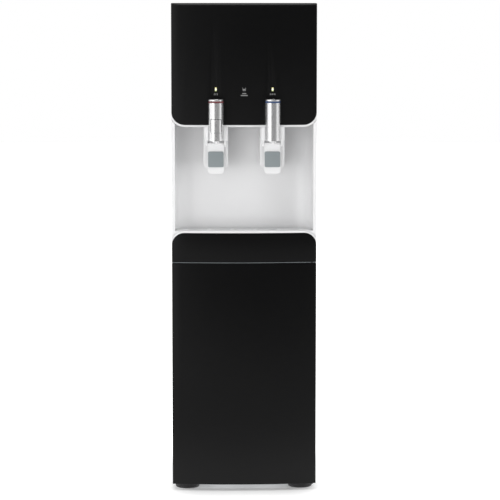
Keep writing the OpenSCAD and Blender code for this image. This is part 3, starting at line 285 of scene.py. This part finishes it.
looks = {
    "white_steel": (moulded, {
        "colour": (0.80, 0.80, 0.805), "roughness": 0.42, "grain": 900.0, "depth": 0.00003}),
    "white_plastic": (moulded, {
        "colour": (0.82, 0.82, 0.825), "roughness": 0.38, "grain": 1400.0, "depth": 0.000015}),
    "black_plastic": (moulded, {
        "colour": (0.0036, 0.0036, 0.0038), "roughness": 0.34, "grain": 1200.0, "depth": 0.00001,
        "shine": 0.14, "drift": 0.2}),
    "galvanised_steel": (galvanised, {
        "colour": (0.60, 0.61, 0.62), "roughness": 0.38, "spangle": 60.0, "crystalShade": 0.78,
        "crystalGloss": 0.12, "grain": 400.0, "depth": 0.00003}),
    "stainless_steel": (brushed, {
        "colour": (0.62, 0.61, 0.60), "roughness": 0.26, "streaks": (40, 40, 2500), "depth": 0.00001}),
    "silver_metal": (brushed, {
        "colour": (0.76, 0.76, 0.765), "roughness": 0.23, "streaks": (90, 90, 2600),
        "depth": 0.0000012, "metal": 0.86, "patches": 12.0}),
    "red_ring": (moulded, {
        "colour": (0.15, 0.045, 0.050), "roughness": 0.25, "grain": 900.0, "depth": 0.00001}),
    "blue_ring": (moulded, {
        "colour": (0.045, 0.075, 0.16), "roughness": 0.25, "grain": 900.0, "depth": 0.00001}),
    "grey_rubber": (moulded, {
        "colour": (0.25, 0.28, 0.29), "roughness": 0.62, "grain": 1600.0, "depth": 0.00006,
        "shine": 0.3}),
    "black_rubber": (moulded, {
        "colour": (0.012, 0.012, 0.013), "roughness": 0.6, "grain": 1300.0, "depth": 0.00008,
        "shine": 0.35}),
    "lens": (litLens, {
        "roughness": 0.2, "glow": 0.45,
        "stops": [(0.0, (0.30, 0.37, 0.10)), (1.0, (0.42, 0.38, 0.12)), (0.45, (1.0, 1.0, 0.78))]}),
    "grey_print": (moulded, {
        "colour": (0.20, 0.20, 0.20), "roughness": 0.5, "grain": 900.0, "depth": 0.000005}),
    "board_green": (printedBoard, {
        "colour": (0.02, 0.12, 0.05), "track": (0.05, 0.24, 0.10), "roughness": 0.35,
        "tracks": 160.0, "trackWidth": 0.04, "trackGloss": 0.1, "depth": 0.00006}),
    "foam": (foamed, {
        "colour": (0.78, 0.70, 0.50), "roughness": 0.85, "shine": 0.2, "cells": 420.0,
        "cellShade": 0.8, "depth": 0.0012}),
    "copper": (tarnished, {
        "colour": (0.62, 0.28, 0.14), "dark": (0.22, 0.09, 0.05), "roughness": 0.3,
        "patches": 22.0, "tarnishGloss": 0.2, "grain": 700.0, "depth": 0.00004}),
    "black_metal": (moulded, {
        "colour": (0.014, 0.014, 0.015), "roughness": 0.36, "grain": 700.0, "depth": 0.00004,
        "drift": 0.15}),
    "blue_plastic": (moulded, {
        "colour": (0.05, 0.14, 0.30), "roughness": 0.4, "grain": 900.0, "depth": 0.00003}),
    "filter_plastic": (moulded, {
        "colour": (0.78, 0.78, 0.77), "roughness": 0.45, "grain": 800.0, "depth": 0.00004}),
    "tube_plastic": (moulded, {
        "colour": (0.66, 0.72, 0.78), "roughness": 0.3, "grain": 300.0, "depth": 0.00003}),
    "red_rocker": (moulded, {
        "colour": (0.30, 0.010, 0.010), "roughness": 0.3, "grain": 900.0, "depth": 0.00002}),
    "green_rocker": (moulded, {
        "colour": (0.01, 0.13, 0.03), "roughness": 0.3, "grain": 900.0, "depth": 0.00002}),
}
finishes = {slot: make(slot, look) for slot, (make, look) in looks.items()}


def dress(piece, slot):
    piece.data.materials.clear()
    piece.data.materials.append(finishes[slot])


for name, node in nodes.items():
    dress(node, slotOf[name])
print("finishes made:", len(finishes))

# Two corners that lie closer than this are at the same height
sameLevel = 0.0001


# Tools for the bench: selecting, editing and finishing pieces
def pick(piece):
    bpy.ops.object.select_all(action="DESELECT")
    piece.select_set(True)
    bpy.context.view_layer.objects.active = piece


def editing(select):
    bpy.ops.object.mode_set(mode="EDIT")
    if select:
        bpy.ops.mesh.select_all(action=select)


def doneEditing():
    bpy.ops.object.mode_set(mode="OBJECT")


def settle(piece):
    pick(piece)
    bpy.ops.object.transform_apply(location=True, rotation=True, scale=True)


def applyAll(piece):
    pick(piece)
    for modifier in list(piece.modifiers):
        bpy.ops.object.modifier_apply(modifier=modifier.name)


def walled(piece, thickness, side):
    wall = piece.modifiers.new("wall", "SOLIDIFY")
    wall.thickness = thickness
    wall.offset = side
    applyAll(piece)


def divided(cuts):
    editing("SELECT")
    bpy.ops.mesh.subdivide(number_cuts=cuts)
    doneEditing()


def hand(piece, name, body, slot, *replaced):
    piece.name = name
    dress(piece, slot)
    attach(piece, body)
    if replaced:
        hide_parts(*replaced)
    return piece


# CAD pieces with their loose triangles joined and their sharp edges rounded
edgeLook = {"weld": 0.00002, "flat": 0.4, "segments": 3, "sharp": 38, "smooth": 32}
roundings = {
    "top_lid": 0.0008,
    "front_fascia": 0.0009,
    "ledge_front": 0.0009,
    "front_door": 0.0009,
    "hot_tap_base": 0.0008,
    "cold_tap_base": 0.0008,
    "hot_paddle": 0.0005,
    "cold_paddle": 0.0005,
    "hot_pad": 0.0003,
    "cold_pad": 0.0003,
    "tap_caps": 0.0003,
}


def softened(nodeName, width, look):
    pick(nodes[nodeName])
    bpy.ops.object.duplicate()
    piece = bpy.context.object
    piece.parent = None
    for key in list(piece.keys()):
        del piece[key]
    piece.data.materials.clear()
    editing("SELECT")
    bpy.ops.mesh.customdata_custom_splitnormals_clear()
    bpy.ops.mesh.remove_doubles(threshold=look["weld"])
    bpy.ops.mesh.dissolve_limited(angle_limit=math.radians(look["flat"]))
    doneEditing()
    bevel = piece.modifiers.new("edges", "BEVEL")
    bevel.width = width
    bevel.segments = look["segments"]
    bevel.limit_method = "ANGLE"
    bevel.angle_limit = math.radians(look["sharp"])
    bevel.miter_outer = "MITER_ARC"
    applyAll(piece)
    bpy.ops.object.shade_smooth_by_angle(angle=math.radians(look["smooth"]))
    hand(piece, nodeName + "_finished", bodyOf[nodeName], slotOf[nodeName], nodeName)


for nodeName, width in roundings.items():
    softened(nodeName, width, edgeLook)
print("edges rounded:", len(roundings))

# The bow of the front, read from the fascia
cornerReach = 0.0005
fasciaLow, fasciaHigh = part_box("front_fascia")
halfWidth = fasciaHigh.x
fasciaCorners = [vertex.co for vertex in nodes["front_fascia"].data.vertices]
cornerFront = min(place.y for place in fasciaCorners if place.x > halfWidth - cornerReach)
bowDepth = cornerFront - fasciaLow.y
bowRadius = (halfWidth ** 2 + bowDepth ** 2) / (2 * bowDepth)


def frontAt(x):
    return fasciaLow.y + bowRadius - math.sqrt(bowRadius ** 2 - x ** 2)


def onBow(piece, lift):
    for vertex in piece.data.vertices:
        vertex.co.y += frontAt(vertex.co.x) - lift


def joined(parts):
    pick(parts[0])
    for part in parts[1:]:
        part.select_set(True)
    if len(parts) > 1:
        bpy.ops.object.join()
    return bpy.context.object


# A flat sheet of the given size, upright or lying
def sheetAt(place, width, height, cuts, upright=True):
    bpy.ops.object.select_all(action="DESELECT")
    tilt = math.radians(90 if upright else 0)
    bpy.ops.mesh.primitive_plane_add(size=1, location=place, rotation=(tilt, 0, 0))
    sheet = bpy.context.object
    sheet.scale = (width, height, 1)
    settle(sheet)
    divided(cuts)
    return sheet


# Printed marks on the fascia: plain signs, each a thin raised print that follows the bow
markLook = {
    "thickness": 0.00012,
    "lift": 0.00002,
    "tapX": 0.060,
    "signZ": 0.8516,
    "cupZ": 0.8620,
    "waves": {"count": 3, "step": 0.0032, "width": 0.0011, "height": 0.0042, "swing": 0.0005, "cuts": 7},
    "stars": {"count": 3, "step": 0.0044, "reach": 0.0021, "width": 0.0007, "turns": (0, 60, 120),
              "cuts": 3},
    "cup": {"width": 0.0088, "height": 0.0072, "line": 0.0010, "narrowing": 0.28, "foot": 0.6,
            "waterWidth": 0.52, "waterHeight": 0.42, "waterDrop": 0.08,
            "sideCuts": 7, "footCuts": 3, "waterCuts": 5},
    "bars": ((0.0084, 0.0020, 0.8530), (0.0148, 0.0022, 0.8490)),
    "barCuts": 5,
}


def printed(parts, name):
    mark = joined(parts)
    onBow(mark, markLook["lift"])
    walled(mark, markLook["thickness"], 1.0)
    hand(mark, name, "cabinet", "white_plastic")
    dress(mark, "grey_print")


def row(look):
    return [(place - (look["count"] - 1) / 2) * look["step"] for place in range(look["count"])]


def wave(x, z, look):
    strip = sheetAt((x, 0, z), look["width"], look["height"], look["cuts"])
    for vertex in strip.data.vertices:
        climb = (vertex.co.z - z) / look["height"]
        vertex.co.x += look["swing"] * math.sin(2 * math.pi * climb)
    return strip


def star(x, z, look):
    spokes = []
    for turn in look["turns"]:
        spoke = sheetAt((0, 0, 0), 2 * look["reach"], look["width"], look["cuts"])
        for vertex in spoke.data.vertices:
            along, across = vertex.co.x, vertex.co.z
            angle = math.radians(turn)
            vertex.co.x = x + along * math.cos(angle) - across * math.sin(angle)
            vertex.co.z = z + along * math.sin(angle) + across * math.cos(angle)
        spokes.append(spoke)
    return spokes


def cupSign(z, look):
    width, height, line = look["width"], look["height"], look["line"]
    sides = [sheetAt((side * (width / 2 - line), 0, z), line, height, look["sideCuts"]) for side in (-1, 1)]
    for side in sides:
        for vertex in side.data.vertices:
            climb = (vertex.co.z - z) / height + 0.5
            vertex.co.x *= 1 - look["narrowing"] * (1 - climb)
    foot = sheetAt((0, 0, z - height / 2 + line / 2), width * look["foot"], line, look["footCuts"])
    water = sheetAt((0, 0, z - height * look["waterDrop"]), width * look["waterWidth"],
                    height * look["waterHeight"], look["waterCuts"])
    return [*sides, foot, water]


tapX, signZ = markLook["tapX"], markLook["signZ"]
waves, stars = markLook["waves"], markLook["stars"]
printed([wave(offset - tapX, signZ, waves) for offset in row(waves)], "hot_sign")
printed([spoke for offset in row(stars) for spoke in star(offset + tapX, signZ, stars)], "cold_sign")
printed(cupSign(markLook["cupZ"], markLook["cup"]), "cup_sign")
printed([sheetAt((0, 0, z), width, height, markLook["barCuts"]) for width, height, z in markLook["bars"]],
        "sign_bars")
print("signs printed")

# A dark strip laid in the groove round the child lock as a painted shadow, standing for the shade in that
# groove: top and sides, bent round the hot barrel
lockShadowLook = {
    "line": 0.0010,
    "groove": 0.0006,
    "proud": 0.00008,
    "thick": 0.0004,
    "corner": 0.0026,
    "cornerSteps": 5,
    "side": 0.0265,
    "cuts": 7,
}


def lockGrooveShadow(look):
    low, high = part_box("child_lock")
    barrelLow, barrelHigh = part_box("hot_tap_barrel")
    axisX = (barrelLow.x + barrelHigh.x) / 2
    radius = (barrelHigh.x - barrelLow.x) / 2
    axisY = barrelLow.y + radius
    margin = (look["groove"] + look["line"]) / 2
    top = high.z + margin
    bottom = top - look["side"]
    grooveShadow = sheetAt((axisX, 0, top - look["side"] / 2), high.x - low.x + 2 * margin, look["side"], 1)
    editing("DESELECT")
    doneEditing()
    for vertex in grooveShadow.data.vertices:
        vertex.select = vertex.co.z > top - sameLevel
    editing(None)
    bpy.ops.mesh.bevel(offset=look["corner"], segments=look["cornerSteps"], affect="VERTICES")
    bpy.ops.mesh.select_all(action="SELECT")
    bpy.ops.mesh.inset(thickness=look["line"])
    bpy.ops.mesh.delete(type="FACE")
    doneEditing()
    for edge in grooveShadow.data.edges:
        heights = [grooveShadow.data.vertices[corner].co.z for corner in edge.vertices]
        edge.select = max(heights) < bottom + sameLevel
    editing(None)
    bpy.ops.mesh.delete(type="EDGE")
    doneEditing()
    divided(look["cuts"])
    reach = radius + look["proud"]
    for vertex in grooveShadow.data.vertices:
        vertex.co.y = axisY - math.sqrt(reach ** 2 - (vertex.co.x - axisX) ** 2)
    walled(grooveShadow, look["thick"], -1.0)
    # Its black is a painted shadow: the groove round the lock is only in shade
    hand(grooveShadow, "lock_groove_painted_shadow", bodyOf["hot_tap_barrel"], "black_rubber")


lockGrooveShadow(lockShadowLook)

# A thin grey sealing strip under the ledge front, seen in the seam above the door; its grey is partly a
# seal and partly a painted highlight for the light line where the door's top edge catches light
sealHighlightLook = {"setBack": 0.0012, "depth": 0.010, "thick": 0.0009, "endGap": 0.0020, "cuts": 31}


def ledgeSealHighlight(look):
    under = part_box("ledge_front")[0].z
    place = (0, look["setBack"] + look["depth"] / 2, under)
    strip = sheetAt(place, 2 * (halfWidth - look["endGap"]), look["depth"], look["cuts"], False)
    onBow(strip, 0)
    walled(strip, look["thick"], -1.0)
    # Grey rubber here is partly a seal and partly a painted highlight in the seam above the door
    hand(strip, "ledge_seal_and_painted_highlight", bodyOf["ledge_front"], "grey_rubber")


ledgeSealHighlight(sealHighlightLook)
print("lock lip and ledge strip made")

# Pan-head screws with a cross recess, one modelled and the rest copied
screwLook = {
    "head": 0.0038,
    "rise": 0.0022,
    "sides": 32,
    "domeSteps": ((0.0005, 0.00035), (0.0007, 0.000245), (0.0004, 0.000105), (0.0001, 0.0)),
    "recess": 0.0011,
    "recessTaper": 0.8,
    "arm": 0.0021,
    "armAngle": 17,
    "waist": 0.0007,
    "smooth": 40,
    "edge": 0.0065,
    "heights": (0.06, 0.29, 0.52, 0.75, 0.99),
    "clipX": 0.0975,
    "clipHeights": (0.46, 0.86),
    "clipReach": 0.009,
    "clipThick": 0.0012,
    "firstTurn": 17,
    "nextTurn": 37,
}


def screwHead(look):
    top = look["rise"]
    bpy.ops.object.select_all(action="DESELECT")
    bpy.ops.mesh.primitive_cylinder_add(vertices=look["sides"], radius=look["head"], depth=top,
                                        location=(0, 0, top / 2))
    screw = bpy.context.object
    settle(screw)
    editing("DESELECT")
    doneEditing()
    for face in screw.data.polygons:
        face.select = face.center.z > top - sameLevel and face.normal.z > 0.9
    editing(None)
    for width, lift in look["domeSteps"]:
        bpy.ops.mesh.inset(thickness=width, depth=lift)
    doneEditing()
    for vertex in screw.data.vertices:
        if vertex.select:
            reach = math.hypot(vertex.co.x, vertex.co.y)
            turn = math.degrees(math.atan2(vertex.co.y, vertex.co.x)) % 90
            wanted = look["arm"] if min(turn, 90 - turn) < look["armAngle"] else look["waist"]
            vertex.co.x *= wanted / reach
            vertex.co.y *= wanted / reach
    editing(None)
    bpy.ops.mesh.extrude_region_move(TRANSFORM_OT_translate={"value": (0, 0, -look["recess"])})
    bpy.ops.transform.resize(value=(look["recessTaper"], look["recessTaper"], 1))
    doneEditing()
    bpy.ops.object.shade_smooth_by_angle(angle=math.radians(look["smooth"]))
    return screw


def setScrew(source, name, place, turn):
    pick(source)
    bpy.ops.object.duplicate()
    screw = bpy.context.object
    screw.rotation_euler = (0, 0, math.radians(turn))
    settle(screw)
    screw.rotation_euler = (math.radians(-90), 0, 0)
    screw.location = place
    settle(screw)
    hand(screw, name, "cabinet", "stainless_steel")


def screwPlaces(look):
    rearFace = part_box("rear_panel")[1].y
    edgeX = halfWidth - look["edge"]
    clipY = rearFace + look["clipThick"]
    edges = [(side * edgeX, rearFace, height) for side in (-1, 1) for height in look["heights"]]
    clips = [(side * look["clipX"], clipY, height + way * look["clipReach"])
             for side in (-1, 1) for height in look["clipHeights"] for way in (-1, 1)]
    return edges + clips


firstScrew = screwHead(screwLook)
for count, place in enumerate(screwPlaces(screwLook)):
    turn = screwLook["firstTurn"] + screwLook["nextTurn"] * count
    setScrew(firstScrew, "rear_screw_%02d" % (count + 1), place, turn)
bpy.data.objects.remove(firstScrew)
print("screws set")

# Light: soft lamps at the left and right, two low ones that reach into the alcove, and two above
lampLooks = {
    "leftLamp": {"place": (-1.75, -1.95, 0.95), "size": (1.8, 2.2), "power": 15.0, "mirrored": True},
    "rightLamp": {"place": (2.4, -1.0, 0.95), "size": (1.0, 2.0), "power": 4.2, "mirrored": True},
    "lowLeftLamp": {"place": (-0.95, -2.3, 0.28), "size": (1.0, 0.6), "power": 9.0, "mirrored": False},
    "lowRightLamp": {"place": (1.75, -1.75, 0.28), "size": (1.0, 0.6), "power": 6.0, "mirrored": False},
    "upperLamp": {"place": (-0.5, -1.5, 2.7), "size": (1.8, 1.0), "power": 8.0, "mirrored": True},
    "topLamp": {"place": (0.0, -0.4, 3.0), "size": (1.6, 1.0), "power": 30.0, "mirrored": True},
}
lampTarget = Vector((0, 0, 0.55))


def addLamp(name, look):
    bpy.ops.object.light_add(type="AREA", location=look["place"])
    lamp = bpy.context.object
    lamp.name = name
    lamp.data.shape = "RECTANGLE"
    lamp.data.size, lamp.data.size_y = look["size"]
    lamp.data.energy = look["power"]
    lamp.visible_glossy = look["mirrored"]
    lamp.rotation_euler = (lampTarget - Vector(look["place"])).to_track_quat("-Z", "Y").to_euler()


for name, look in lampLooks.items():
    addLamp(name, look)
print("lamps set:", len(lampLooks))

# The floor is pale and takes the shadow; past the object's footprint the camera sees it white. Towards the
# footprint that glow fades out, so the shade there is partly the lamps' real shadow and partly painted
# shadow
floorLook = {
    "radius": 14,
    "sides": 96,
    "colour": 0.80,
    "roughness": 0.7,
    "shine": 0.1,
    "shadowInside": 0.075,
    "shadowReach": 0.210,
    "mirrorFade": (0.15, 0.60),
    "mirrorLight": (1.0, 0.04),
}


def addFloor(look):
    bpy.ops.mesh.primitive_circle_add(vertices=look["sides"], radius=look["radius"], fill_type="NGON",
                                      location=(0, 0, 0))
    floor = bpy.context.object
    floor.name = "floor"
    colour = look["colour"]
    finish = Finish("floor", {"Roughness": look["roughness"], "Base Color": (colour, colour, colour, 1),
                              "Specular IOR Level": look["shine"], "Emission Color": (1, 1, 1, 1)})
    camera, glossy, through = finish.rays()
    low, high = cadBox
    middle = ((low[0] + high[0]) / 2, (low[1] + high[1]) / 2, 0)
    inside = look["shadowInside"]
    half = ((high[0] - low[0]) / 2 - inside, (high[1] - low[1]) / 2 - inside, 1)
    aside = finish.vectors("SUBTRACT", finish.place(), middle)
    mirrored = finish.node("VectorMath", {"operation": "ABSOLUTE"}, {0: aside})
    clear = finish.vectors("MAXIMUM", finish.vectors("SUBTRACT", mirrored, half), (0, 0, 0))
    far = finish.node("VectorMath", {"operation": "LENGTH"}, {0: clear}, "Value")
    # Painted shadow: the glow the camera sees fades out towards the object's footprint, darkening the floor
    # there beyond what the lamps' real shadow does
    paintedShadowFade = finish.climb(far, (0.0, look["shadowReach"]), (0.0, 1.0), "LINEAR")
    depth = finish.axis(finish.place(), "Y")
    shine = finish.climb(0 - depth, look["mirrorFade"], look["mirrorLight"])
    finish.feed("Emission Strength", paintedShadowFade * (camera + through) + shine * glossy)
    floor.data.materials.append(finish.material)


addFloor(floorLook)

# The world: white to the camera, pale day light from all round with four soft glows, each a turn,
# a climb, a spread and a strength, and a light of its own for what shines
worldLook = {
    "day": 0.20,
    "dayGlows": ((0, 5, 50, 0.4), (66, 5, 32, 2.6), (-70, 5, 28, 0.8), (180, 25, 60, 1.3)),
    "mirrorFront": 0.05,
    "mirrorBehind": (0.1, 0.6),
    "mirrorLeft": (0.42, 0.62),
    "leftGlow": 1.35,
    "mirrorRight": (0.68, 0.85),
    "rightGlow": 0.35,
}


def mirrorLight(room, direction, look):
    depth = room.axis(direction, "Y")
    across = room.axis(direction, "X")
    behind = room.climb(depth, look["mirrorBehind"], (0.0, 1.0))
    left = room.climb(0 - across, look["mirrorLeft"], (0.0, look["leftGlow"]))
    right = room.climb(across, look["mirrorRight"], (0.0, look["rightGlow"]))
    return behind + (1 - behind) * (left + right + look["mirrorFront"])


def dayLight(room, direction, look):
    day = look["day"]
    for turn, climb, spread, strength in look["dayGlows"]:
        turn, climb = math.radians(turn), math.radians(climb)
        towards = (math.cos(climb) * math.sin(turn), -math.cos(climb) * math.cos(turn), math.sin(climb))
        facing = room.vectors("DOT_PRODUCT", direction, towards, "Value")
        day = room.climb(facing, (math.cos(math.radians(spread)), 1.0), (0.0, strength)) + day
    return day


def lightWorld(look):
    world = bpy.data.worlds.new("studio")
    bpy.context.scene.world = world
    world.use_nodes = True
    room = Shading(world.node_tree)
    camera, glossy, through = room.rays()
    direction = room.node("TexCoord", {}, {}, "Generated")
    shown = camera + through - camera * through
    lit = glossy * mirrorLight(room, direction, look) + (1 - glossy) * dayLight(room, direction, look)
    strength = shown + (1 - shown) * lit
    background = world.node_tree.nodes["Background"]
    background.inputs["Color"].default_value = (1, 1, 1, 1)
    world.node_tree.links.new(strength.socket, background.inputs["Strength"])


lightWorld(worldLook)
print("stage set")
